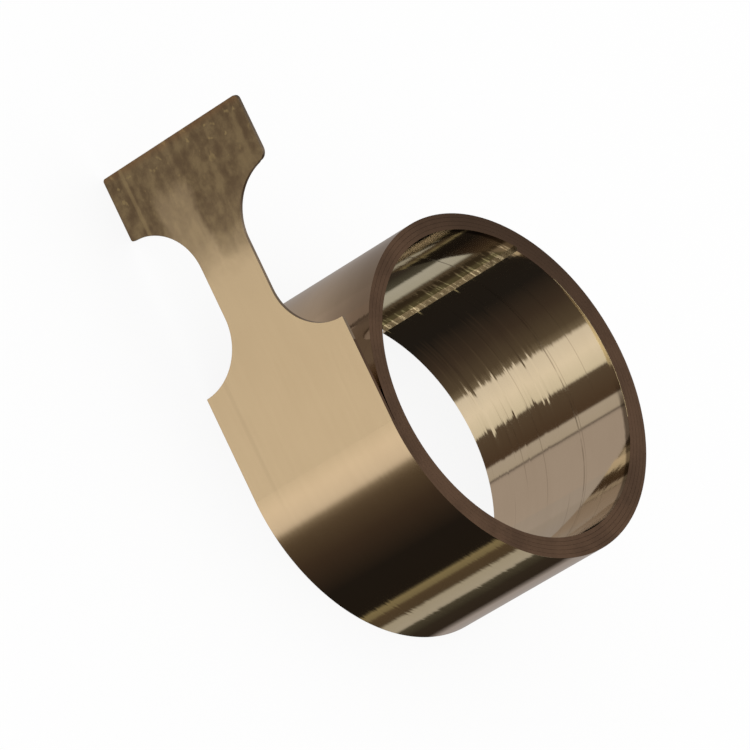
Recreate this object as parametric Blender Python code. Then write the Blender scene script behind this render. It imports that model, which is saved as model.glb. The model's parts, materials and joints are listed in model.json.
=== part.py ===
"""A rolled-strip spring: one long steel strip wound into a loose coil, its free end laid flat as a
lead that finishes in a T-shaped hook tab. The coil's axis is +Z, and the strip stands on its edge.
The lead leaves the coil at a tangent along +X. Pulling it turns the coil clockwise, seen from +Z."""

import math

import bpy

MM = 0.001

# Strip
STRIP_WIDTH = 16.0 * MM
STRIP_THICKNESS = 0.30 * MM

# Coil, measured at the take-off, where the outermost turn becomes the lead
COIL_OUTER_RADIUS = 14.90 * MM
TURN_GAP = 0.05 * MM
TURNS = 4.64
FACETS_PER_TURN = 72

# Flat lead, from the take-off to the shoulders of the hook tab
LEAD_LENGTH = 8.94 * MM
SHOULDER_LENGTH = 2.0 * MM
CUT_GAP = 0.10 * MM

# Hook tab: shoulders, a neck between two notches, and a head as wide as the strip
NOTCH_LENGTH = 13.75 * MM
NOTCH_DEPTH = 5.25 * MM
NOTCH_CORNER_LENGTH = 4.70 * MM
NOTCH_CORNER_STEPS = 10
HEAD_LENGTH = 5.46 * MM
HEAD_UPPER_CORNER = 0.80 * MM
HEAD_LOWER_CORNER = 0.25 * MM
HEAD_CORNER_STEPS = 4

# Sizes that follow from those above
TURN_PITCH = STRIP_THICKNESS + TURN_GAP
NECK_START = LEAD_LENGTH
HEAD_START = NECK_START + NOTCH_LENGTH
TIP = HEAD_START + HEAD_LENGTH
COIL_LEFT_REACH = COIL_OUTER_RADIUS - TURN_PITCH / 4
COIL_NEAR_REACH = COIL_OUTER_RADIUS - TURN_PITCH / 2

# The origin is under the middle of the whole object, so the coil's axis stands off it
COIL_X = (COIL_LEFT_REACH - TIP) / 2
COIL_Y = (COIL_NEAR_REACH - COIL_OUTER_RADIUS) / 2

COIL_COLOUR = (0.30, 0.21, 0.15, 1.0)
LEAD_COLOUR = (0.54, 0.40, 0.26, 1.0)
TAB_COLOUR = (0.24, 0.16, 0.10, 1.0)


def clear_scene():
    for obj in list(bpy.data.objects):
        bpy.data.objects.remove(obj, do_unlink=True)


def metal(name, colour, roughness):
    material = bpy.data.materials.new(name)
    material.use_nodes = True
    shader = material.node_tree.nodes["Principled BSDF"]
    shader.inputs["Base Color"].default_value = colour
    shader.inputs["Metallic"].default_value = 1.0
    shader.inputs["Roughness"].default_value = roughness
    return material


def solid(name, points, faces, material, parent):
    mesh = bpy.data.meshes.new(name)
    mesh.from_pydata(points, [], faces)
    mesh.materials.append(material)
    mesh.validate()
    obj = bpy.data.objects.new(name, mesh)
    bpy.context.scene.collection.objects.link(obj)
    obj.parent = parent
    return obj


def empty(name, location):
    obj = bpy.data.objects.new(name, None)
    obj.location = location
    bpy.context.scene.collection.objects.link(obj)
    return obj


def corner_arc(centre, start_degrees, reach_x, reach_z, steps):
    """A quarter of an ellipse in the XZ plane, turning counterclockwise from start_degrees."""
    points = []
    for step in range(steps + 1):
        angle = math.radians(start_degrees + 90 * step / steps)
        points.append((centre[0] + reach_x * math.cos(angle), centre[1] + reach_z * math.sin(angle)))
    return points


def notch_outline():
    """The lower notch's edge, from the shoulder to the head, in the strip's own length and width."""
    shoulder_corner = corner_arc(
        (NECK_START + NOTCH_CORNER_LENGTH, 0), 90, NOTCH_CORNER_LENGTH, NOTCH_DEPTH, NOTCH_CORNER_STEPS
    )
    head_corner = corner_arc(
        (HEAD_START - NOTCH_CORNER_LENGTH, 0), 0, NOTCH_CORNER_LENGTH, NOTCH_DEPTH, NOTCH_CORNER_STEPS
    )
    # The head's own rounded corner takes the place of the arc's last point.
    return shoulder_corner[::-1] + head_corner[:0:-1]


def head_outline():
    """The head's four corners, counterclockwise from the lower one beside the notch."""
    low, high = HEAD_LOWER_CORNER, HEAD_UPPER_CORNER
    points = []
    for x, z, radius, start in (
        (HEAD_START + low, low, low, 180),
        (TIP - low, low, low, 270),
        (TIP - high, STRIP_WIDTH - high, high, 0),
        (HEAD_START + high, STRIP_WIDTH - high, high, 90),
    ):
        points += corner_arc((x, z), start, radius, radius, HEAD_CORNER_STEPS)
    return points


def tab_outline():
    """The hook tab's whole outline, counterclockwise in the strip's own length and width."""
    lower = notch_outline()
    upper = [(x, STRIP_WIDTH - z) for x, z in reversed(lower)]
    start = LEAD_LENGTH - SHOULDER_LENGTH
    return [(start, 0.0)] + lower + head_outline() + upper + [(start, STRIP_WIDTH)]


def flat_piece(name, outline, material, parent):
    """A flat stretch of strip: its outline in X and Z, and its thickness inwards from the outer face."""
    count = len(outline)
    outer_y = COIL_OUTER_RADIUS
    inner_y = COIL_OUTER_RADIUS - STRIP_THICKNESS
    points = [(x, outer_y, z) for x, z in outline] + [(x, inner_y, z) for x, z in outline]
    faces = [tuple(reversed(range(count))), tuple(range(count, 2 * count))]
    for index in range(count):
        following = (index + 1) % count
        faces.append((index, following, count + following, count + index))
    return solid(name, points, faces, material, parent)


def winding_angles():
    """Angles wound inwards from the take-off, on the same rays in every turn, and then the inner end."""
    step = 2 * math.pi / FACETS_PER_TURN
    total = 2 * math.pi * TURNS
    whole_steps = int(total / step - 0.25)
    return [step * index for index in range(whole_steps + 1)] + [total]


def wound_coil(material, parent):
    """The coil as one spiral strip, each turn a pitch inside the one before it."""
    points = []
    for wound in winding_angles():
        outer = COIL_OUTER_RADIUS - TURN_PITCH * wound / (2 * math.pi)
        inner = outer - STRIP_THICKNESS
        angle = math.pi / 2 + wound
        for radius, z in ((outer, 0.0), (outer, STRIP_WIDTH), (inner, STRIP_WIDTH), (inner, 0.0)):
            points.append((radius * math.cos(angle), radius * math.sin(angle), z))
    sections = len(points) // 4
    faces = [(0, 1, 2, 3), tuple(4 * (sections - 1) + corner for corner in (3, 2, 1, 0))]
    for section in range(sections - 1):
        here, there = 4 * section, 4 * (section + 1)
        for corner in range(4):
            beside = (corner + 1) % 4
            faces.append((here + beside, here + corner, there + corner, there + beside))
    return solid("wound_coil", points, faces, material, parent)


def main():
    clear_scene()
    coil_axis = empty("coil_axis", (COIL_X, COIL_Y, 0.0))
    wound_coil(metal("coil_steel", COIL_COLOUR, 0.35), coil_axis)
    lead_end = LEAD_LENGTH - SHOULDER_LENGTH - CUT_GAP
    lead = [(CUT_GAP, 0.0), (lead_end, 0.0), (lead_end, STRIP_WIDTH), (CUT_GAP, STRIP_WIDTH)]
    flat_piece("flat_lead", lead, metal("lead_steel", LEAD_COLOUR, 0.35), coil_axis)
    flat_piece("hook_tab", tab_outline(), metal("tab_steel", TAB_COLOUR, 0.45), coil_axis)


main()
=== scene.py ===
"""Looks for a constant-force spring: a steel strip wound into a loose coil, with a flat lead that ends
in a T-shaped hook tab. The coil's axis is +Z, and the strip stands on its edge on a pale floor."""

import json
import math

import bmesh
import bpy
from bpy.props import FloatProperty, FloatVectorProperty, IntProperty, PointerProperty
from mathutils import Matrix, Vector

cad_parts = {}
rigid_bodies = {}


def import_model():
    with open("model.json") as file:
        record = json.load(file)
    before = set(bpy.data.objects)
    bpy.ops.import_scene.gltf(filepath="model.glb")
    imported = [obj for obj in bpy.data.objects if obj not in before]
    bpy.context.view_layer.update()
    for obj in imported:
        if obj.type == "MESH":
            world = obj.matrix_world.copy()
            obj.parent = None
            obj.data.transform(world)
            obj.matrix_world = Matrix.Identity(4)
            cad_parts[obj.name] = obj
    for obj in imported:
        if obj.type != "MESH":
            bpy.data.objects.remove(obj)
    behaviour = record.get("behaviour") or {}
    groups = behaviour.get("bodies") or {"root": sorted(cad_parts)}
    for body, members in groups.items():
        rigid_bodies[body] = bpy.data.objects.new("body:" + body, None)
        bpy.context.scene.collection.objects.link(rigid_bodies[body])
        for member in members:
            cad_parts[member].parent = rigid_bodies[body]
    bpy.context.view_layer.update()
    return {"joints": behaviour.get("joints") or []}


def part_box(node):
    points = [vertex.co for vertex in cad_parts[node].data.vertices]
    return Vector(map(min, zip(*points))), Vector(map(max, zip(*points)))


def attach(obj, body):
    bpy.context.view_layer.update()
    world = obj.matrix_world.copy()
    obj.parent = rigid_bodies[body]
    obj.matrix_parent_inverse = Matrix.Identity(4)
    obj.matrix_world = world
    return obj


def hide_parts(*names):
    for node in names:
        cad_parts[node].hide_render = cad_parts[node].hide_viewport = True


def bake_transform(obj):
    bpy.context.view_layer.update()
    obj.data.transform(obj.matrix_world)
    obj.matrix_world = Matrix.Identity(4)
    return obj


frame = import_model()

bl_info = {
    "name": "Constant-force spring",
    "version": (1, 0, 0),
    "blender": (4, 5, 0),
    "location": "3D View > Sidebar > Spring",
    "description": "A rolled steel strip with a hook tab, and the studio it stands in",
    "category": "Object",
}

MM = 0.001
PER_MM = 1000.0


def joint_named(name):
    return next(joint for joint in frame["joints"] if joint["name"] == name)


# Places and sizes that the frame gives
COIL_AXIS = Vector(joint_named("coil_spin")["pos_m"])
TAB_LOW, TAB_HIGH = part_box("hook_tab")
COIL_LOW, COIL_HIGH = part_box("wound_coil")
STRIP_WIDTH = COIL_HIGH.z - COIL_LOW.z
STRIP_THICKNESS = TAB_HIGH.y - TAB_LOW.y
OUTER_RADIUS = TAB_HIGH.y - COIL_AXIS.y
TAB_START = TAB_LOW.x
TIP = TAB_HIGH.x

# Steps of the curved outlines, and how closely two edges are read as one
NOTCH_STEPS = 24
CORNER_STEPS = 16
LEAD_SECTIONS = 48
COIL_ROUNDING_STEPS = 3
PLATE_ROUNDING_STEPS = 2
SHARP_DEGREES = 8
SAME_PLACE = 1e-7

# How much of a normal points one way for its face to be read as rolled, slit, or on the edge with the
# painted highlight
ROLLED_FACE = 0.7
SLIT_FACE = 0.3
EDGE_HIGHLIGHT_FACE = 0.15

# Where the bright painted highlight on the innermost turn's upper inner edge stops and starts, in turns
# before the strip's inner end
EDGE_HIGHLIGHT_STRETCH = (0.05, 0.21)


# ---------------------------------------------------------------- settings


class SpringStripSettings(bpy.types.PropertyGroup):
    """Sizes of the wound strip and of its punched tab."""

    turns: FloatProperty(
        name="Turns", description="Turns of strip from the take-off to the inner end", default=4.64, min=1.0
    )
    turn_pitch: FloatProperty(
        name="Turn pitch", description="How much closer to the axis each turn lies than the one outside it",
        default=0.35 * MM, min=0.0, unit="LENGTH",
    )
    turn_gap: FloatProperty(
        name="Turn gap", description="The fine line that shows between two turns on the rim",
        default=0.004 * MM, min=0.0, unit="LENGTH",
    )
    sections_per_turn: IntProperty(
        name="Sections per turn", description="Cross-sections in one turn of the coil", default=360, min=24
    )
    edge_rounding: FloatProperty(
        name="Edge rounding", description="Radius of the rolled edges of the strip", default=0.016 * MM,
        min=0.0, unit="LENGTH",
    )
    shoulder_length: FloatProperty(
        name="Shoulder length", description="Full-width strip between the lead and the notches",
        default=2.0 * MM, unit="LENGTH",
    )
    notch_length: FloatProperty(
        name="Notch length", description="Length of the notches along the strip", default=13.75 * MM,
        unit="LENGTH",
    )
    notch_depth: FloatProperty(
        name="Notch depth", description="Depth of each notch across the strip", default=5.25 * MM,
        unit="LENGTH",
    )
    notch_corner: FloatProperty(
        name="Notch corner", description="Length of each notch's rounded corner along the strip",
        default=4.7 * MM, unit="LENGTH",
    )
    head_upper_corner: FloatProperty(
        name="Upper head corner", description="Corner radius of the head's upper side",
        default=0.8 * MM, unit="LENGTH",
    )
    tip_upper_corner: FloatProperty(
        name="Tip upper corner", description="Radius of the tip's upper corner", default=0.45 * MM, min=0.0,
        unit="LENGTH",
    )
    head_lower_corner: FloatProperty(
        name="Lower head corner", description="Corner radius of the head's lower side",
        default=0.25 * MM, unit="LENGTH",
    )


class SpringFinishSettings(bpy.types.PropertyGroup):
    """Colours and finish of the steel."""

    outer_tint: FloatVectorProperty(
        name="Outer tint", description="Bronze tint of the outer face", subtype="COLOR", size=4,
        default=(0.60, 0.49, 0.375, 1.0),
    )
    inner_tint: FloatVectorProperty(
        name="Inner tint", description="Cooler tint of the face toward the bore", subtype="COLOR",
        size=4, default=(0.62, 0.55, 0.46, 1.0),
    )
    heat_tint: FloatVectorProperty(
        name="Heat tint", description="Dark tint left by softening the tab", subtype="COLOR", size=4,
        default=(0.156, 0.113, 0.080, 1.0),
    )
    edge_tint: FloatVectorProperty(
        name="Edge tint", description="Reddish brown of the slit edges", subtype="COLOR", size=4,
        default=(0.122, 0.072, 0.044, 1.0),
    )
    punched_tint: FloatVectorProperty(
        name="Punched tint", description="Brighter steel of the punched and cut edges",
        subtype="COLOR", size=4, default=(0.27, 0.205, 0.145, 1.0),
    )
    face_roughness: FloatProperty(
        name="Face roughness", description="Roughness of the rolled face", subtype="FACTOR",
        default=0.05, min=0.0, max=1.0,
    )
    waviness: FloatProperty(
        name="Waviness", description="Lean of the face from lane to lane along the strip, as a slope",
        default=0.06, min=0.0,
    )
    grain_depth: FloatProperty(
        name="Grain depth", description="Height of the lengthwise rolling grain", default=0.0006 * MM,
        unit="LENGTH",
    )


class SpringStudioSettings(bpy.types.PropertyGroup):
    """The floor, the light and the camera."""

    camera_distance: FloatProperty(
        name="Camera distance", description="From the camera to what it looks at", default=0.64586,
        unit="LENGTH",
    )
    camera_heading: FloatProperty(
        name="Camera heading", description="Where the camera stands, counterclockwise from -Y",
        default=math.radians(189.12), subtype="ANGLE",
    )
    camera_elevation: FloatProperty(
        name="Camera elevation", description="The camera's height over the floor as an angle",
        default=math.radians(39.05), subtype="ANGLE",
    )
    camera_roll: FloatProperty(
        name="Camera roll", description="The camera's turn about its own line of sight",
        default=math.radians(58.65), subtype="ANGLE",
    )
    camera_lens: FloatProperty(
        name="Lens", description="Focal length in millimetres", default=390.4, unit="CAMERA"
    )
    floor_size: FloatProperty(
        name="Floor size", description="Side of the square floor", default=4.0, unit="LENGTH"
    )
    lamp_size: FloatProperty(
        name="Lamp size", description="Side of the square overhead lamp", default=0.6, unit="LENGTH"
    )
    lamp_power: FloatProperty(
        name="Lamp power", description="Power of the overhead lamp", default=1.2, min=0.0, unit="POWER"
    )


# ---------------------------------------------------------------- node trees


class Wire:
    """An output of a node tree that Python's operators work on, adding a Math node each."""

    def __init__(self, graph, socket):
        self.graph = graph
        self.socket = socket

    def math(self, operation, *others):
        return self.graph.node("ShaderNodeMath", {"operation": operation}, dict(enumerate((self, *others))))

    def __add__(self, other):
        return self.math("ADD", other)

    def __radd__(self, other):
        return self.math("ADD", other)

    def __sub__(self, other):
        return self.math("SUBTRACT", other)

    def __rsub__(self, other):
        return self.graph.node("ShaderNodeMath", {"operation": "SUBTRACT"}, {0: other, 1: self})

    def __mul__(self, other):
        return self.math("MULTIPLY", other)

    def __rmul__(self, other):
        return self.math("MULTIPLY", other)

    def __truediv__(self, other):
        return self.math("DIVIDE", other)

    def __neg__(self):
        return self.math("MULTIPLY", -1.0)

    def __gt__(self, other):
        return self.math("GREATER_THAN", other)

    def __lt__(self, other):
        return self.math("LESS_THAN", other)


class Graph:
    """Adds nodes to a shader or geometry tree, and joins them."""

    def __init__(self, tree):
        self.tree = tree

    def node(self, kind, settings=None, inputs=None, output=0):
        """One node: its settings first, then its sockets, each a number, a colour or a wire."""
        made = self.tree.nodes.new(kind)
        for name, value in (settings or {}).items():
            if name == "stops":
                self.set_stops(made.color_ramp, value)
            else:
                setattr(made, name, value)
        for name, value in (inputs or {}).items():
            self.feed(made.inputs[name], value)
        return Wire(self, made.outputs[output])

    def feed(self, socket, value):
        if isinstance(value, Wire):
            self.tree.links.new(value.socket, socket)
        else:
            socket.default_value = value

    def set_stops(self, ramp, stops):
        while len(ramp.elements) > 1:
            ramp.elements.remove(ramp.elements[-1])
        for index, (position, colour) in enumerate(stops):
            element = ramp.elements[0] if index == 0 else ramp.elements.new(position)
            element.position = position
            element.color = colour

    def split(self, vector):
        """The X, Y and Z of a vector."""
        made = self.tree.nodes.new("ShaderNodeSeparateXYZ")
        self.feed(made.inputs[0], vector)
        return [Wire(self, socket) for socket in made.outputs]

    def join(self, x, y, z):
        return self.node("ShaderNodeCombineXYZ", None, {0: x, 1: y, 2: z})

    def smooth(self, value, low, high):
        """0 below low, 1 above high, and a smooth step between them."""
        return self.node(
            "ShaderNodeMapRange", {"interpolation_type": "SMOOTHSTEP"}, {0: value, 1: low, 2: high}
        )

    def mix(self, factor, first, second):
        """A mix of two colours."""
        return self.node(
            "ShaderNodeMix", {"data_type": "RGBA"}, {0: factor, 6: first, 7: second}, output=2
        )

    def noise(self, place, scale=1.0, detail=2.0, roughness=0.5):
        return self.node(
            "ShaderNodeTexNoise", None,
            {"Vector": place, "Scale": scale, "Detail": detail, "Roughness": roughness},
        )


# ---------------------------------------------------------------- materials

# The whole numbers that are added to a noise's place only keep one pattern apart from another.

# What wear, heat and dirt do to the steel's colour, and the painted shade, shadow and highlights
CLOUD_TINT = (0.30, 0.22, 0.14, 1.0)
# Painted shade on the outer side of the coil
OUTER_SHADE_TINT = (0.185, 0.132, 0.095, 1.0)
# Painted shadow beside the strip's inner end, and the painted glints streaked through it
END_SHADOW_TINT = (0.16, 0.13, 0.09, 1.0)
END_GLINT_TINT = (0.98, 0.94, 0.82, 1.0)
# Painted shade in the bore under the upper rim
BORE_SHADE_TINT = (0.11, 0.08, 0.055, 1.0)
# Painted highlight in the bore under the upper rim near the inner end
RIM_HIGHLIGHT_TINT = (0.84, 0.68, 0.40, 1.0)
SCRATCH_TINT = (0.14, 0.10, 0.07, 1.0)
HEAT_PALE = (0.275, 0.215, 0.145, 1.0)
HEAT_SPECK = (0.46, 0.37, 0.22, 1.0)
HEAT_STREAK = (0.46, 0.37, 0.24, 1.0)
RUST_TINT = (0.26, 0.13, 0.07, 1.0)
CUT_END_TINT = (0.98, 0.92, 0.78, 1.0)
# Painted highlight on the innermost turn's upper inner edge
EDGE_HIGHLIGHT_TINT = (0.90, 0.74, 0.42, 1.0)

# Roughness of the narrow faces
RIM_ROUGHNESS = 0.36
PUNCHED_ROUGHNESS = 0.30
CUT_END_ROUGHNESS = 0.20
EDGE_HIGHLIGHT_ROUGHNESS = 0.25

# Lanes along the strip in one millimetre of its width
SCRATCH_LANES = 2.6
LEANING_LANES = 6.0

# Heights over the strip's lower edge, in millimetres
MAIN_SCRATCH = 10.9
LEAD_LINE = 2.35
HEAT_LINE = 2.0

# The side of the coil where the rim has painted shade, as X and Y from the axis
SHADED_RIM_SIDE = (0.82, -0.57)


def strip_place_from_attribute(graph):
    """Distance along the strip, height across it, and side, in millimetres, as the coil stores them.
    The distance is 0 at the take-off, falls on the coil and rises toward the tab."""
    stored = graph.node("ShaderNodeAttribute", {"attribute_name": "strip"}, output=1)
    return [axis * PER_MM for axis in graph.split(stored)]


def strip_place_from_object(graph):
    """The same place for the flat pieces, read from their own coordinates."""
    place = graph.node("ShaderNodeTexCoord", output=3)
    x, y, z = graph.split(place)
    return (x - COIL_AXIS.x) * PER_MM, z * PER_MM, (TAB_HIGH.y - y) * PER_MM


def wound_millimetres(turns):
    """The length of this many turns of strip from the take-off, along its middle."""
    pitch = bpy.context.scene.spring_strip.turn_pitch
    return math.tau * turns * (OUTER_RADIUS - pitch * (turns + 1.0) / 2) * PER_MM


def distance_to_end(along):
    """How far a place on the coil is from the strip's inner end, along the strip."""
    return along + wound_millimetres(bpy.context.scene.spring_strip.turns)


def lane_line(graph, across, height, half_width):
    """1 on a thin line along the strip at this height, and 0 away from it."""
    return 1.0 - graph.smooth((across - height).math("ABSOLUTE"), half_width * 0.3, half_width)


def luck_of(graph, number):
    """A draw between 0 and 1 for each whole number."""
    return graph.node("ShaderNodeTexWhiteNoise", {"noise_dimensions": "1D"}, {"W": number})


def scratches(graph, along, across, inner, layer):
    """Long thin scratches along the strip, on the side toward the bore: one main, the others fine."""
    lane = (across * SCRATCH_LANES).math("FLOOR")
    luck = luck_of(graph, lane + layer + 4.0)
    offset = (luck * 7.0).math("FRACT") * 0.5 + 0.25
    distance = (across * SCRATCH_LANES - lane - offset).math("ABSOLUTE")
    reach = graph.noise(graph.join(along * 0.07, lane * 3.7, layer), detail=1.0)
    fine = (luck > 0.62) * graph.smooth(reach, 0.50, 0.56) * (1.0 - graph.smooth(distance, 0.04, 0.16))
    wander = graph.noise(graph.join(along * 0.05, 3.0, layer), detail=1.0)
    strength = graph.noise(graph.join(along * 0.5, 9.0, layer), detail=2.0)
    main = lane_line(graph, across + wander * 0.5, MAIN_SCRATCH, 0.10)
    main = 0.75 * main * graph.smooth(strength, 0.30, 0.55)
    return (fine * 0.45 + main).math("MINIMUM", 1.0) * inner


def lane_lean(graph, along, across, inner, layer):
    """How far each narrow lane along the strip leans to one side: a little everywhere, more in worn
    patches, and far in single lanes of the bore's lower half. Near the flat lead, and in the bore
    away from the strip's inner end, the lanes lean less."""
    lanes = graph.noise(graph.join(along * 0.15, across * 4.6, layer + 7.0), detail=3.0, roughness=0.65)
    swing = lanes - 0.5
    patches = graph.noise(graph.join(along * 0.10, across * 0.20, layer + 13.0), detail=1.0)
    wear_and_highlight = graph.smooth(patches + inner * (0.10 - across * 0.012), 0.42, 0.66)
    number = (across * LEANING_LANES).math("FLOOR")
    luck = luck_of(graph, number + layer + 60.0)
    reach = graph.noise(graph.join(along * 0.16, number * 2.3, layer + 31.0), detail=2.0)
    side = ((luck * 13.0).math("FRACT") > 0.5) * 2.0 - 1.0
    single = graph.smooth(luck, 0.35, 0.9) * graph.smooth(reach, 0.42, 0.62)
    single = single * inner * (1.0 - graph.smooth(across, 8.0, 11.0))
    calm = inner * graph.smooth(distance_to_end(along), 13.0, 14.2)
    flat = graph.smooth(along, -14.0, -7.0)
    lean = swing * (0.20 + wear_and_highlight * swing.math("ABSOLUTE") * 10.0) + single * side * 0.75
    return lean * (1.0 - 0.75 * flat) * (1.0 - 0.85 * calm)


def heat_mask(graph, along, across, layer):
    """How far softening has darkened the tab: from the neck on, and less on a tongue that stays
    paler almost to the tip."""
    drift = graph.noise(graph.join(along * 0.6, across * 0.6, layer + 3.0), detail=4.0)
    reach = along + (drift - 0.5) * 2.6
    side = across + (drift - 0.5) * 1.6
    tongue = graph.smooth(side, 3.2, 4.2) * (1.0 - graph.smooth(side, 7.3, 8.1))
    early = graph.smooth(reach, 16.0, 20.2)
    middle = graph.smooth(reach, 19.0, 24.0)
    late = graph.smooth(reach, 23.4, 25.6)
    return early * (0.88 - tongue * 0.38) + middle * 0.12 + late * tongue * 0.34


def heat_scale(graph, along, across, layer):
    """The colour of the softened tab: dark brown with lengthwise streaks and blotches, pale specks,
    a pale line and a rusty tip."""
    finish = bpy.context.scene.spring_finish
    blotches = graph.noise(graph.join(along * 0.75, across * 0.8, layer + 11.0), detail=5.0, roughness=0.6)
    streaks = graph.noise(graph.join(along * 0.15, across * 1.0, layer + 5.0), detail=3.0)
    depth = graph.smooth(blotches * 0.65 + streaks * 0.35, 0.38, 0.64)
    scale = graph.mix(depth, tuple(finish.heat_tint), HEAT_PALE)
    specks = graph.noise(graph.join(along * 1.3, across * 1.3, layer + 2.0), detail=2.0)
    near_tip = graph.smooth(along, 22.5, 26.5)
    scale = graph.mix(graph.smooth(specks, 0.62, 0.70) * near_tip * 0.5, scale, HEAT_SPECK)
    rust = graph.smooth(along + blotches * 1.2, 28.0, 28.8)
    scale = graph.mix(rust * 0.40, scale, RUST_TINT)
    return graph.mix(lane_line(graph, across, HEAT_LINE, 0.28) * 0.35, scale, HEAT_STREAK)


def outer_shade_band(graph, along, across, clouds, inner):
    """Painted shade on the outer side, brown, from two thirds of the way round the outermost turn on,
    deeper toward the upper rim."""
    outer_shade = graph.smooth(-along, 62.0, 72.0) * (1.0 - 0.4 * graph.smooth(-along, 83.0, 87.0))
    return outer_shade * graph.smooth(across + clouds * 1.5, 8.0, 16.5) * (1.0 - inner)


def end_shadow_patch(graph, along, streaked, inner):
    """A painted shadow in a narrow patch in the bore beside the strip's inner end, on the turn that the end
    rests against, with painted glints streaked through it."""
    turns = bpy.context.scene.spring_strip.turns
    past_end = -along - wound_millimetres(turns - 1.0)
    return inner * graph.smooth(past_end, -0.4, 0.1) * (1.0 - graph.smooth(past_end + streaked, 1.9, 2.4))


def bore_shade_band(graph, along, across, streaked, inner):
    """Painted shade in the bore just under the upper rim, away from the strip's inner end."""
    bore_shade = inner * graph.smooth(across + streaked * 0.4, 15.55, 15.85)
    return bore_shade * graph.smooth(distance_to_end(along), 13.5, 16.0)


def rim_highlight_band(graph, along, across, streaked, inner):
    """A painted highlight in the bore under the upper rim near the inner end, wider away from that end."""
    to_end = distance_to_end(along)
    rim_highlight = inner * graph.smooth(to_end, 4.0, 6.0) * (1.0 - graph.smooth(to_end, 12.0, 13.0))
    return rim_highlight * graph.smooth(across + to_end * 0.03 + streaked * 0.2, 16.05, 16.17)


def leaned_normal(graph, lean):
    """The face's normal, turned sideways along the strip by this slope."""
    facing = graph.node("ShaderNodeNewGeometry", output=1)
    sideways = graph.node(
        "ShaderNodeVectorMath", {"operation": "CROSS_PRODUCT"}, {0: (0.0, 0.0, 1.0), 1: facing}
    )
    leaned = graph.node(
        "ShaderNodeVectorMath", {"operation": "MULTIPLY_ADD"},
        {0: sideways, 1: graph.join(lean, lean, lean), 2: facing},
    )
    return graph.node("ShaderNodeVectorMath", {"operation": "NORMALIZE"}, {0: leaned})


def rolled_steel(name, strip_place, heat_tinted):
    """The rolled face: bronze-tinted bright steel with lengthwise grain, soft clouding and scratches, with
    painted shade, a painted shadow and painted highlights.
    heat_tinted adds the dark mottled tint of the softened tab."""
    finish = bpy.context.scene.spring_finish
    material = bpy.data.materials.new(name)
    material.use_nodes = True
    graph = Graph(material.node_tree)
    along, across, side = strip_place(graph)
    inner = graph.smooth(side, 0.1, 0.2)
    layer = inner * 5.0

    clouds = graph.noise(graph.join(along * 0.20, across * 0.28, layer), detail=3.0)
    streaks = graph.noise(graph.join(along * 0.05, across * 1.6, layer), detail=2.0)
    shade = graph.smooth(clouds * 0.65 + streaks * 0.35, 0.32, 0.70)
    tint = graph.mix(inner, tuple(finish.outer_tint), tuple(finish.inner_tint))
    tint = graph.mix(shade * 0.07, tint, CLOUD_TINT)
    # Painted shade on the outer side, deeper toward the upper rim
    tint = graph.mix(outer_shade_band(graph, along, across, clouds, inner) * 0.80, tint, OUTER_SHADE_TINT)
    streaked = graph.noise(graph.join(along * 0.5, across * 2.6, 21.0), detail=3.0, roughness=0.7)
    # Painted shadow beside the strip's inner end, with painted glints in streaks
    end_shadow_and_glints = end_shadow_patch(graph, along, streaked, inner)
    end_glints = graph.smooth(streaked, 0.53, 0.64)
    tint = graph.mix(end_shadow_and_glints * (1.0 - end_glints) * 0.85, tint, END_SHADOW_TINT)
    tint = graph.mix(end_shadow_and_glints * end_glints * 0.55, tint, END_GLINT_TINT)
    # Painted shade in the bore just under the upper rim
    tint = graph.mix(bore_shade_band(graph, along, across, streaked, inner) * 0.85, tint, BORE_SHADE_TINT)
    # Painted highlight in the bore under the upper rim near the inner end
    rim_highlight = rim_highlight_band(graph, along, across, streaked, inner)
    tint = graph.mix(rim_highlight * 0.9, tint, RIM_HIGHLIGHT_TINT)
    faint_line = lane_line(graph, across, LEAD_LINE, 0.30) * graph.smooth(along, -3.0, 2.5)
    scratch = scratches(graph, along, across, inner, layer)
    tint = graph.mix(faint_line * 0.07 + scratch * 0.55, tint, SCRATCH_TINT)

    grain = graph.noise(graph.join(along * 0.35, across * 9.0, layer), detail=3.0, roughness=0.65)
    soft_end = graph.smooth(along, -10.0, -4.0)
    rough = finish.face_roughness + soft_end * 0.07 + grain * 0.03 + scratch * 0.15 + rim_highlight * 0.25
    if heat_tinted:
        heated = heat_mask(graph, along, across, layer)
        tint = graph.mix(heated, tint, heat_scale(graph, along, across, layer))
        rough = rough + heated * 0.12

    lean = lane_lean(graph, along, across, inner, layer) * finish.waviness
    bump = graph.node(
        "ShaderNodeBump", None,
        {
            "Strength": 1.0,
            "Distance": finish.grain_depth,
            "Height": grain - scratch * 0.8,
            "Normal": leaned_normal(graph, lean),
        },
    )
    shader = material.node_tree.nodes["Principled BSDF"]
    shader.inputs["Metallic"].default_value = 1.0
    graph.feed(shader.inputs["Base Color"], tint)
    graph.feed(shader.inputs["Roughness"], rough)
    graph.feed(shader.inputs["Normal"], bump)
    return material


def dimmed(colour, share):
    """This share of a colour's brightness."""
    return tuple(channel * share for channel in tuple(colour)[:3]) + (1.0,)


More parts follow.
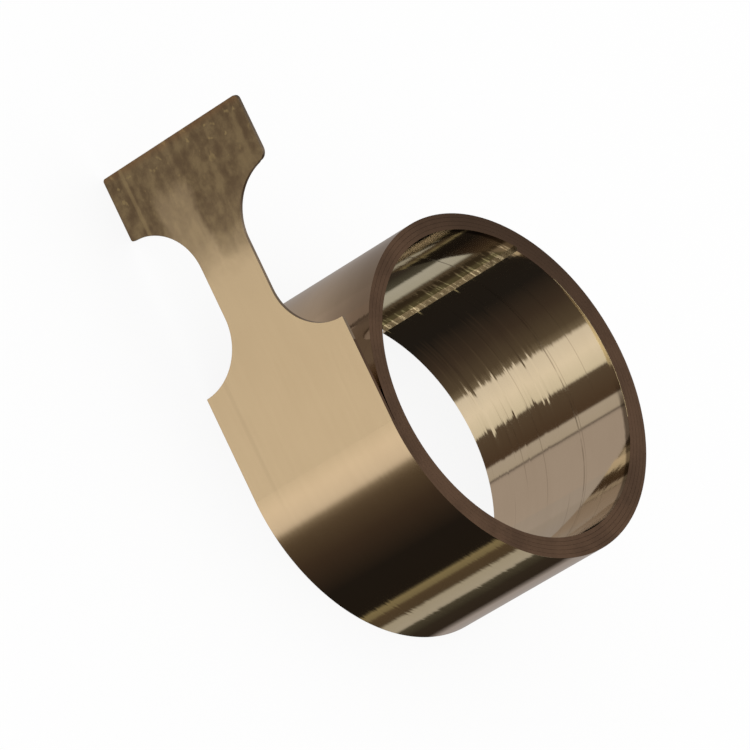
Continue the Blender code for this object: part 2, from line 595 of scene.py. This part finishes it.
def slit_edge(name, tint, roughness):
    """The strip's narrow edges: duller steel with faint clouding and burrs, and painted shade on one side
    of the upper rim."""
    material = bpy.data.materials.new(name)
    material.use_nodes = True
    graph = Graph(material.node_tree)
    place = graph.node("ShaderNodeTexCoord", output=3)
    x, y, z = [axis * PER_MM for axis in graph.split(place)]
    clouds = graph.noise(graph.join(x * 0.30, y * 0.30, z * 0.30), detail=3.0)
    burr = graph.noise(graph.join(x * 5.0, y * 5.0, z * 5.0), detail=2.0)
    tone = graph.smooth(clouds * 0.75 + burr * 0.25, 0.36, 0.66)
    shade = graph.mix(tone, tuple(tint), dimmed(tint, 0.72))
    from_axis = x - COIL_AXIS.x * PER_MM, y - COIL_AXIS.y * PER_MM
    toward_side = from_axis[0] * SHADED_RIM_SIDE[0] + from_axis[1] * SHADED_RIM_SIDE[1]
    # Painted shade: the upper rim darker on one side of the coil
    rim_side_shade = graph.smooth(toward_side, 8.0, 14.5) * graph.smooth(z, 15.0, 15.9)
    shader = material.node_tree.nodes["Principled BSDF"]
    shader.inputs["Metallic"].default_value = 1.0
    graph.feed(shader.inputs["Base Color"], graph.mix(rim_side_shade * 0.85, shade, dimmed(tint, 0.48)))
    graph.feed(shader.inputs["Roughness"], roughness + burr * 0.12)
    bump = graph.node(
        "ShaderNodeBump", None, {"Strength": 1.0, "Distance": 0.002 * MM, "Height": burr}
    )
    graph.feed(shader.inputs["Normal"], bump)
    return material


def material_once(name, make, *values):
    return bpy.data.materials.get(name) or make(name, *values)


def rim_material():
    tint = bpy.context.scene.spring_finish.edge_tint
    return material_once("slit_edge", slit_edge, tint, RIM_ROUGHNESS)


def punched_material():
    tint = bpy.context.scene.spring_finish.punched_tint
    return material_once("punched_edge", slit_edge, tint, PUNCHED_ROUGHNESS)


def cut_end_material():
    return material_once("cut_end", slit_edge, CUT_END_TINT, CUT_END_ROUGHNESS)


# The painted highlight on the innermost turn's upper inner edge, in bright golden steel
def edge_highlight_material():
    return material_once("worn_edge", slit_edge, EDGE_HIGHLIGHT_TINT, EDGE_HIGHLIGHT_ROUGHNESS)


# ---------------------------------------------------------------- meshes


def piece_from(name, mesh):
    obj = bpy.data.objects.new(name, mesh)
    bpy.context.scene.collection.objects.link(obj)
    return obj


def finish_shading(mesh):
    mesh.shade_smooth()
    mesh.set_sharp_from_angle(angle=math.radians(SHARP_DEGREES))


def coil_tree():
    """Geometry nodes for the coil: a flat spiral that carries the strip's cross-section along it.
    They store each point's place on the strip: distance from the take-off, height, and side."""
    tree = bpy.data.node_groups.new("wound_strip", "GeometryNodeTree")
    tree.is_modifier = True
    add = tree.interface.new_socket
    add("Geometry", in_out="OUTPUT", socket_type="NodeSocketGeometry")
    for name in ("Outer radius", "Turn pitch", "Thickness", "Width", "Edge rounding", "Turns"):
        add(name, in_out="INPUT", socket_type="NodeSocketFloat")
    add("Sections per turn", in_out="INPUT", socket_type="NodeSocketInt")
    add("Axis", in_out="INPUT", socket_type="NodeSocketVector")
    for name in ("Face", "Edge", "Cut end", "Worn edge"):
        add(name, in_out="INPUT", socket_type="NodeSocketMaterial")
    graph = Graph(tree)
    given = tree.nodes.new("NodeGroupInput")
    value = {socket.name: Wire(graph, socket) for socket in given.outputs if socket.name}

    middle = value["Outer radius"] - value["Thickness"] * 0.5
    spiral = graph.node(
        "GeometryNodeCurveSpiral", None,
        {
            "Resolution": value["Sections per turn"],
            "Rotations": value["Turns"],
            "Start Radius": middle,
            "End Radius": middle - value["Turn pitch"] * value["Turns"],
            "Height": 0.0,
            "Reverse": True,
        },
    )
    quarter_turn = graph.node(
        "GeometryNodeTransform", None, {"Geometry": spiral, "Rotation": (0.0, 0.0, math.pi / 2)}
    )
    upright = graph.node("GeometryNodeSetCurveNormal", {"mode": "Z_UP"}, {"Curve": quarter_turn})
    noted = tree.nodes.new("GeometryNodeCaptureAttribute")
    noted.capture_items.new("FLOAT", "Length")
    noted.capture_items.new("FLOAT", "Index")
    graph.feed(noted.inputs[0], upright)
    graph.feed(noted.inputs[1], graph.node("GeometryNodeSplineParameter", output=1))
    graph.feed(noted.inputs[2], graph.node("GeometryNodeInputIndex"))
    path, travelled, index = [Wire(graph, noted.outputs[number]) for number in range(3)]
    turns_in = index / value["Sections per turn"]

    section = graph.node(
        "GeometryNodeCurvePrimitiveQuadrilateral", None,
        {"Width": value["Thickness"], "Height": value["Width"]},
    )
    rounded = graph.node(
        "GeometryNodeFilletCurve", {"mode": "POLY"},
        {"Curve": section, "Radius": value["Edge rounding"], "Count": COIL_ROUNDING_STEPS},
    )
    swept = graph.node(
        "GeometryNodeCurveToMesh", None,
        {"Curve": path, "Profile Curve": rounded, "Fill Caps": True},
    )
    raised = graph.node(
        "GeometryNodeTransform", None,
        {"Geometry": swept, "Translation": graph.join(0.0, 0.0, value["Width"] * 0.5)},
    )
    here = graph.node("GeometryNodeInputPosition")
    x, y, z = graph.split(here)
    radius = (x * x + y * y).math("SQRT")
    inner = (middle - value["Turn pitch"] * turns_in) > radius
    stored = graph.node(
        "GeometryNodeStoreNamedAttribute", {"data_type": "FLOAT_VECTOR", "domain": "POINT"},
        {
            "Geometry": raised,
            "Name": "strip",
            "Value": graph.join(-travelled, z, inner * value["Thickness"]),
        },
    )
    moved = graph.node(
        "GeometryNodeTransform", None, {"Geometry": stored, "Translation": value["Axis"]}
    )
    solid = graph.node("GeometryNodeRealizeInstances", None, {"Geometry": moved})
    faced = graph.node(
        "GeometryNodeSetMaterial", None, {"Geometry": solid, "Material": value["Face"]}
    )
    normal = graph.node("GeometryNodeInputNormal")
    place = graph.node("ShaderNodeVectorMath", {"operation": "SUBTRACT"}, {0: here, 1: value["Axis"]})
    place_x, place_y, _ = graph.split(place)
    outward = graph.node(
        "ShaderNodeVectorMath", {"operation": "NORMALIZE"}, {0: graph.join(place_x, place_y, 0.0)}
    )
    facing = graph.node(
        "ShaderNodeVectorMath", {"operation": "DOT_PRODUCT"}, {0: normal, 1: outward}, output=1
    )
    _, _, upward = graph.split(normal)
    off_face = facing.math("ABSOLUTE") < ROLLED_FACE
    ended = graph.node(
        "GeometryNodeSetMaterial", None,
        {"Geometry": faced, "Selection": off_face, "Material": value["Cut end"]},
    )
    edged = graph.node(
        "GeometryNodeSetMaterial", None,
        {
            "Geometry": ended,
            "Selection": upward.math("ABSOLUTE") > SLIT_FACE,
            "Material": value["Edge"],
        },
    )
    # The painted highlight on the innermost turn's upper inner edge, just before the strip's inner end
    before_end = value["Turns"] - turns_in
    wear_and_highlight = (before_end > EDGE_HIGHLIGHT_STRETCH[0]) * (before_end < EDGE_HIGHLIGHT_STRETCH[1])
    edged = graph.node(
        "GeometryNodeSetMaterial", None,
        {
            "Geometry": edged,
            "Selection": wear_and_highlight * (facing < -EDGE_HIGHLIGHT_FACE) * (upward > EDGE_HIGHLIGHT_FACE),
            "Material": value["Worn edge"],
        },
    )
    result = tree.nodes.new("NodeGroupOutput")
    graph.feed(result.inputs[0], edged)
    return tree


def bake_nodes(name, tree, values):
    """Runs a geometry tree on an empty mesh and gives back its result as a plain mesh object."""
    holder = piece_from(name, bpy.data.meshes.new(name + "_holder"))
    modifier = holder.modifiers.new("Nodes", "NODES")
    modifier.node_group = tree
    for item in tree.interface.items_tree:
        if item.in_out == "INPUT" and item.name in values:
            modifier[item.identifier] = values[item.name]
    graph = bpy.context.evaluated_depsgraph_get()
    mesh = bpy.data.meshes.new_from_object(holder.evaluated_get(graph), depsgraph=graph)
    holder.modifiers.remove(modifier)
    old = holder.data
    holder.data = mesh
    mesh.name = name
    bpy.data.meshes.remove(old)
    return holder


def corner_arc(centre, start_degrees, reach_x, reach_z, steps):
    """A quarter of an ellipse in the XZ plane, turning counterclockwise from start_degrees."""
    points = []
    for step in range(steps + 1):
        angle = math.radians(start_degrees + 90 * step / steps)
        points.append((centre[0] + reach_x * math.cos(angle), centre[1] + reach_z * math.sin(angle)))
    return points


def tab_outline(strip):
    """The tab's outline, counterclockwise in X and Z, from the lead's side round the head."""
    neck_start = TAB_START + strip.shoulder_length
    head_start = neck_start + strip.notch_length
    corner = strip.notch_corner
    depth = strip.notch_depth
    shoulder_corner = corner_arc((neck_start + corner, 0), 90, corner, depth, NOTCH_STEPS)
    head_corner = corner_arc((head_start - corner, 0), 0, corner, depth, NOTCH_STEPS)
    lower = shoulder_corner[::-1] + head_corner[:0:-1]
    low = strip.head_lower_corner
    high = strip.head_upper_corner
    top = strip.tip_upper_corner
    # The head's upper corner takes the place of the notch's last points.
    upper = [(x, STRIP_WIDTH - z) for x, z in reversed(lower) if x < neck_start + corner or z > high]
    head = []
    for x, z, radius, start in (
        (head_start + low, low, low, 180),
        (TIP - low, low, low, 270),
        (TIP - top, STRIP_WIDTH - top, top, 0),
        (head_start + high, STRIP_WIDTH - high, high, 90),
    ):
        head += corner_arc((x, z), start, radius, radius, CORNER_STEPS)
    return [(TAB_START, 0.0)] + lower + head + upper + [(TAB_START, STRIP_WIDTH)]


def flat_plate(name, outline, open_ends, rounding):
    """A flat piece of strip from its outline, with its long edges rounded. open_ends are the X
    values where it meets the next piece, and stay square."""
    shape = bmesh.new()
    corners = [shape.verts.new((x, TAB_HIGH.y, z)) for x, z in outline]
    face = shape.faces.new(corners)
    face.normal_update()
    if face.normal.y < 0:
        face.normal_flip()
    made = bmesh.ops.extrude_face_region(shape, geom=[face])
    pushed = [item for item in made["geom"] if isinstance(item, bmesh.types.BMVert)]
    bmesh.ops.translate(shape, verts=pushed, vec=(0.0, -STRIP_THICKNESS, 0.0))
    bmesh.ops.recalc_face_normals(shape, faces=shape.faces)

    def on_open_end(edge):
        return any(all(abs(vert.co.x - x) < SAME_PLACE for vert in edge.verts) for x in open_ends)

    rims = [
        edge for edge in shape.edges
        if abs(edge.verts[0].co.y - edge.verts[1].co.y) < SAME_PLACE and not on_open_end(edge)
    ]
    bmesh.ops.bevel(
        shape, geom=rims, offset=rounding, segments=PLATE_ROUNDING_STEPS, profile=0.5,
        affect="EDGES", clamp_overlap=True,
    )
    for face in shape.faces:
        face.material_index = 0 if abs(face.normal.y) > ROLLED_FACE else 1
    mesh = bpy.data.meshes.new(name)
    shape.to_mesh(mesh)
    shape.free()
    finish_shading(mesh)
    return piece_from(name, mesh)


# ---------------------------------------------------------------- operators


class SPRING_OT_wound_coil(bpy.types.Operator):
    """Make the coil: several turns of strip, each just inside the one before it"""

    bl_idname = "spring.wound_coil"
    bl_label = "Wound coil"

    def execute(self, context):
        strip = context.scene.spring_strip
        face = material_once("coil_face", rolled_steel, strip_place_from_attribute, False)
        values = {
            "Outer radius": OUTER_RADIUS,
            "Turn pitch": strip.turn_pitch,
            "Thickness": strip.turn_pitch - strip.turn_gap,
            "Width": STRIP_WIDTH,
            "Edge rounding": strip.edge_rounding,
            "Turns": strip.turns,
            "Sections per turn": strip.sections_per_turn,
            "Axis": tuple(COIL_AXIS),
            "Face": face,
            "Edge": rim_material(),
            "Cut end": cut_end_material(),
            "Worn edge": edge_highlight_material(),
        }
        coil = bake_nodes("coil_turns", coil_tree(), values)
        finish_shading(coil.data)
        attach(coil, "coil")
        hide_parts("wound_coil")
        return {"FINISHED"}


class SPRING_OT_flat_lead(bpy.types.Operator):
    """Make the flat lead as one fixed piece from the coil to the tab; on the real spring it grows longer as
    the tab is pulled out
    """

    bl_idname = "spring.flat_lead"
    bl_label = "Flat lead"

    def execute(self, context):
        strip = context.scene.spring_strip
        start = COIL_AXIS.x
        reach = TAB_START - start
        xs = [start + reach * step / LEAD_SECTIONS for step in range(LEAD_SECTIONS + 1)]
        outline = [(x, 0.0) for x in xs] + [(x, STRIP_WIDTH) for x in reversed(xs)]
        lead = flat_plate("lead_strip", outline, (start, TAB_START), strip.edge_rounding)
        lead.data.materials.append(
            material_once("lead_face", rolled_steel, strip_place_from_object, False)
        )
        lead.data.materials.append(rim_material())
        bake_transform(lead)
        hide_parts("flat_lead")
        return {"FINISHED"}


class SPRING_OT_hook_tab(bpy.types.Operator):
    """Make the punched tab: shoulders, neck and head"""

    bl_idname = "spring.hook_tab"
    bl_label = "Hook tab"

    def execute(self, context):
        strip = context.scene.spring_strip
        tab = flat_plate("tab_plate", tab_outline(strip), (TAB_START,), strip.edge_rounding)
        tab.data.materials.append(
            material_once("tab_face", rolled_steel, strip_place_from_object, True)
        )
        tab.data.materials.append(punched_material())
        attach(tab, "tab")
        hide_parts("hook_tab")
        return {"FINISHED"}


# What the bright steel mirrors: the studio's walls and flags, by heading in degrees counterclockwise
# from +X. Each has the headings where it starts and ends and its colour at either side.
STUDIO_WALLS = (
    (-14.0, 42.6, (0.50, 0.435, 0.375), (0.525, 0.445, 0.375)),
    (42.6, 44.0, (0.15, 0.12, 0.10), (0.15, 0.12, 0.10)),
    (44.0, 54.2, (0.58, 0.51, 0.41), (0.60, 0.53, 0.44)),
    (54.2, 77.0, (0.098, 0.061, 0.036), (0.140, 0.102, 0.066)),
    (77.0, 92.0, (0.93, 0.85, 0.65), (1.12, 1.01, 0.80)),
    (92.0, 107.0, (1.12, 1.01, 0.80), (0.98, 0.89, 0.72)),
    (107.0, 114.0, (0.26, 0.21, 0.138), (0.130, 0.098, 0.062)),
    (114.0, 132.0, (0.130, 0.098, 0.062), (0.068, 0.048, 0.033)),
    (132.0, 156.0, (0.068, 0.048, 0.033), (0.021, 0.0175, 0.0145)),
    (156.0, 183.0, (0.021, 0.0175, 0.0145), (0.021, 0.017, 0.013)),
    (183.0, 189.5, (0.34, 0.30, 0.165), (0.26, 0.23, 0.13)),
    (189.5, 199.7, (0.12, 0.090, 0.054), (0.105, 0.080, 0.049)),
    (199.7, 212.6, (0.54, 0.53, 0.44), (0.56, 0.55, 0.47)),
    (212.6, 224.0, (0.100, 0.094, 0.066), (0.050, 0.043, 0.030)),
    (224.0, 239.0, (0.045, 0.036, 0.026), (0.036, 0.027, 0.019)),
    (239.0, 249.0, (0.036, 0.027, 0.019), (0.42, 0.385, 0.365)),
    (249.0, 272.0, (0.42, 0.385, 0.365), (0.40, 0.365, 0.345)),
    (272.0, 306.0, (0.37, 0.335, 0.315), (0.385, 0.345, 0.315)),
    (306.0, 346.0, (0.385, 0.345, 0.315), (0.465, 0.405, 0.345)),
)
WALL_EDGE = 0.5
CEILING = (0.62, 0.60, 0.58, 1.0)
CEILING_HEIGHTS = (0.15, 0.45)
PALE = (0.9, 0.9, 0.9, 1.0)
WHITE = (1.0, 1.0, 1.0, 1.0)
FLOOR_DROP = 0.02 * MM
FLOOR_GLOW = 0.88
LAMP_PLACE = Vector((-0.15, -0.25, 0.7))
LAMP_COLOUR = (1.0, 0.98, 0.96)
CAMERA_AIM = COIL_AXIS + Vector((6.31 * MM, -1.45 * MM, 2.99 * MM))


def wall_stops():
    """The walls as a ramp's stops, from heading 0 to 360: a narrow soft edge where two walls differ,
    and one shared stop where the colour runs on."""
    stops = []
    for number, (start, end, first, last) in enumerate(STUDIO_WALLS):
        soft = min(WALL_EDGE, (end - start) / 4)
        if STUDIO_WALLS[number - 1][3] != first:
            stops.append((start + soft, first))
        runs_on = STUDIO_WALLS[(number + 1) % len(STUDIO_WALLS)][2] == last
        stops.append((end if runs_on else end - soft, last))
    return sorted((heading % 360 / 360, (*colour, 1.0)) for heading, colour in stops)


def studio_world():
    """White to the camera, plain pale light for the floor, and walls with dark flags for the steel."""
    world = bpy.data.worlds.new("studio")
    world.use_nodes = True
    graph = Graph(world.node_tree)
    direction = graph.node("ShaderNodeTexCoord", output=0)
    x, y, z = graph.split(direction)
    heading = graph.node("ShaderNodeMath", {"operation": "ARCTAN2"}, {0: y, 1: x})
    turn = (heading / math.tau + 1.0).math("FRACT")
    walls = graph.node("ShaderNodeValToRGB", {"stops": wall_stops()}, {0: turn})
    ceiling = graph.smooth(z, *CEILING_HEIGHTS)
    mirrored = graph.mix(ceiling, walls, CEILING)
    ray = world.node_tree.nodes.new("ShaderNodeLightPath")
    is_glossy = Wire(graph, ray.outputs["Is Glossy Ray"])
    is_camera = Wire(graph, ray.outputs["Is Camera Ray"])
    seen = graph.mix(is_glossy, PALE, mirrored)
    seen = graph.mix(is_camera, seen, WHITE)
    background = world.node_tree.nodes["Background"]
    graph.feed(background.inputs["Color"], seen)
    bpy.context.scene.world = world


def floor_material():
    """A pale matte floor that shows white to the camera and keeps the spring's soft shadow."""
    material = bpy.data.materials.new("pale_floor")
    material.use_nodes = True
    graph = Graph(material.node_tree)
    tree = material.node_tree
    tree.nodes.remove(tree.nodes["Principled BSDF"])
    matte = graph.node("ShaderNodeBsdfDiffuse", None, {"Color": PALE})
    glow = graph.node("ShaderNodeEmission", None, {"Color": WHITE, "Strength": 1.0})
    ray = tree.nodes.new("ShaderNodeLightPath")
    seen = (
        Wire(graph, ray.outputs["Is Camera Ray"])
        + Wire(graph, ray.outputs["Is Glossy Ray"])
        + Wire(graph, ray.outputs["Is Transmission Ray"])
    )
    share = seen.math("MINIMUM", 1.0) * FLOOR_GLOW
    mixed = graph.node("ShaderNodeMixShader", None, {0: share, 1: matte, 2: glow})
    graph.feed(tree.nodes["Material Output"].inputs["Surface"], mixed)
    return material


def add_floor(studio):
    """A square floor just under the strip's lower edge."""
    half = studio.floor_size / 2
    mesh = bpy.data.meshes.new("floor")
    corners = [(-half, -half), (half, -half), (half, half), (-half, half)]
    mesh.from_pydata([(x, y, -FLOOR_DROP) for x, y in corners], [], [(0, 1, 2, 3)])
    mesh.materials.append(floor_material())
    floor = piece_from("floor", mesh)
    floor.visible_glossy = False


def add_lamp(studio):
    """A square lamp over the spring, which it faces."""
    lamp = bpy.data.lights.new("overhead", "AREA")
    lamp.size = studio.lamp_size
    lamp.energy = studio.lamp_power
    lamp.color = LAMP_COLOUR
    obj = bpy.data.objects.new("overhead", lamp)
    obj.location = LAMP_PLACE
    aim = Vector((0.0, 0.0, STRIP_WIDTH / 2)) - LAMP_PLACE
    obj.rotation_euler = aim.to_track_quat("-Z", "Y").to_euler()
    bpy.context.scene.collection.objects.link(obj)


def add_camera(studio):
    """A long lens on a rolled camera that looks down on the coil's upper rim and the lead."""
    level = math.cos(studio.camera_elevation)
    back = Vector(
        (
            math.sin(studio.camera_heading) * level,
            -math.cos(studio.camera_heading) * level,
            math.sin(studio.camera_elevation),
        )
    )
    data = bpy.data.cameras.new("camera")
    data.sensor_width = 36.0
    data.lens = studio.camera_lens
    data.clip_start = 0.05
    data.clip_end = 20.0
    camera = bpy.data.objects.new("camera", data)
    upright = (-back).to_track_quat("-Z", "Y").to_matrix().to_4x4()
    turned = upright @ Matrix.Rotation(studio.camera_roll, 4, "Z")
    camera.matrix_world = Matrix.Translation(CAMERA_AIM + back * studio.camera_distance) @ turned
    bpy.context.scene.collection.objects.link(camera)
    bpy.context.scene.camera = camera


class SPRING_OT_studio(bpy.types.Operator):
    """Set up the pale floor, the soft light and the camera"""

    bl_idname = "spring.studio"
    bl_label = "Studio"

    def execute(self, context):
        studio = context.scene.spring_studio
        add_floor(studio)
        studio_world()
        add_lamp(studio)
        add_camera(studio)
        context.scene.view_settings.view_transform = "Standard"
        return {"FINISHED"}


class SPRING_PT_panel(bpy.types.Panel):
    """Lists the spring's pieces and its studio"""

    bl_idname = "SPRING_PT_panel"
    bl_label = "Constant-force spring"
    bl_space_type = "VIEW_3D"
    bl_region_type = "UI"
    bl_category = "Spring"

    def draw(self, context):
        layout = self.layout
        for group in (context.scene.spring_strip, context.scene.spring_finish, context.scene.spring_studio):
            box = layout.box()
            for name in group.__annotations__:
                box.prop(group, name)
        for operator in MAKERS:
            layout.operator(operator.bl_idname)


MAKERS = (SPRING_OT_studio, SPRING_OT_wound_coil, SPRING_OT_flat_lead, SPRING_OT_hook_tab)
CLASSES = (SpringStripSettings, SpringFinishSettings, SpringStudioSettings, *MAKERS, SPRING_PT_panel)
SETTINGS = {
    "spring_strip": SpringStripSettings,
    "spring_finish": SpringFinishSettings,
    "spring_studio": SpringStudioSettings,
}


def register():
    for entry in CLASSES:
        bpy.utils.register_class(entry)
    for name, group in SETTINGS.items():
        setattr(bpy.types.Scene, name, PointerProperty(type=group))


def unregister():
    for name in SETTINGS:
        delattr(bpy.types.Scene, name)
    for entry in reversed(CLASSES):
        bpy.utils.unregister_class(entry)


def clear_stage():
    """Removes the startup scene's camera, lamp and cube."""
    for obj in list(bpy.data.objects):
        if obj.name in ("Cube", "Camera", "Light"):
            bpy.data.objects.remove(obj, do_unlink=True)


def write_sizes():
    """Brings the view layer up to date."""
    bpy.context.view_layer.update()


def main():
    register()
    clear_stage()
    bpy.ops.spring.studio()
    bpy.ops.spring.wound_coil()
    bpy.ops.spring.flat_lead()
    bpy.ops.spring.hook_tab()
    write_sizes()


if __name__ == "__main__":
    main()
